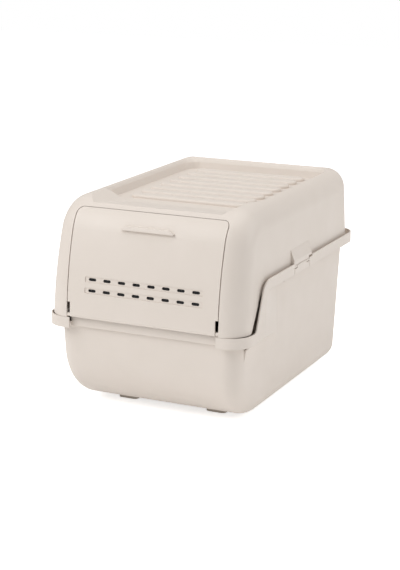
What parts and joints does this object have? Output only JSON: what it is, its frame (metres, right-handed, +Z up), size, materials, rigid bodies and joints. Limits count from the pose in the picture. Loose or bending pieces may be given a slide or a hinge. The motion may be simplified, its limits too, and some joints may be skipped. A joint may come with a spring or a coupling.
{
  "type": "cat litter box with hood",
  "caption": "Hooded cat litter box: deep tray with a stepped rim, lift-off hood with a ribbed roof, drop-down front door with vent slots, side latches and feet.",
  "frame": {"origin": "on the floor under the middle of the box", "axes": "+Z up, the front door faces -Y, +X to the right of someone who faces the door's back from behind the box"},
  "size_m": [0.4, 0.554, 0.393],
  "materials": {
    "shell": "satin greige moulded polypropylene",
    "filter": "activated-carbon felt",
    "foot": "matt soft pad"
  },
  "bodies": {
    "tray": {"tray": "shell", "foot_front_left": "foot", "foot_front_right": "foot", "foot_back_left": "foot", "foot_back_right": "foot"},
    "hood": {"hood": "shell", "hinge_pin_left": "shell", "hinge_pin_right": "shell", "latch_pin_left": "shell", "latch_pin_right": "shell"},
    "door": {"front_door": "shell", "filter_holder": "shell", "carbon_filter": "filter"},
    "latch_left": {"side_latch_left": "shell"},
    "latch_right": {"side_latch_right": "shell"}
  },
  "joints": [
    {"name": "hood_lift", "type": "slide", "parent": "tray", "child": "hood", "axis": [0, 0, 1], "range_m": [0, 0.25]},
    {"name": "door_hinge", "type": "hinge", "parent": "hood", "child": "door", "pos_m": [0, -0.2724, 0.1867], "axis": [1, 0, 0], "range_deg": [0, 95]},
    {"name": "latch_right_hinge", "type": "hinge", "parent": "hood", "child": "latch_right", "pos_m": [0.1974, -0.015, 0.2604], "axis": [0, -1, 0], "range_deg": [0, 60]},
    {"name": "latch_left_hinge", "type": "hinge", "parent": "hood", "child": "latch_left", "pos_m": [-0.1974, -0.015, 0.2604], "axis": [0, 1, 0], "range_deg": [0, 60]}
  ]
}
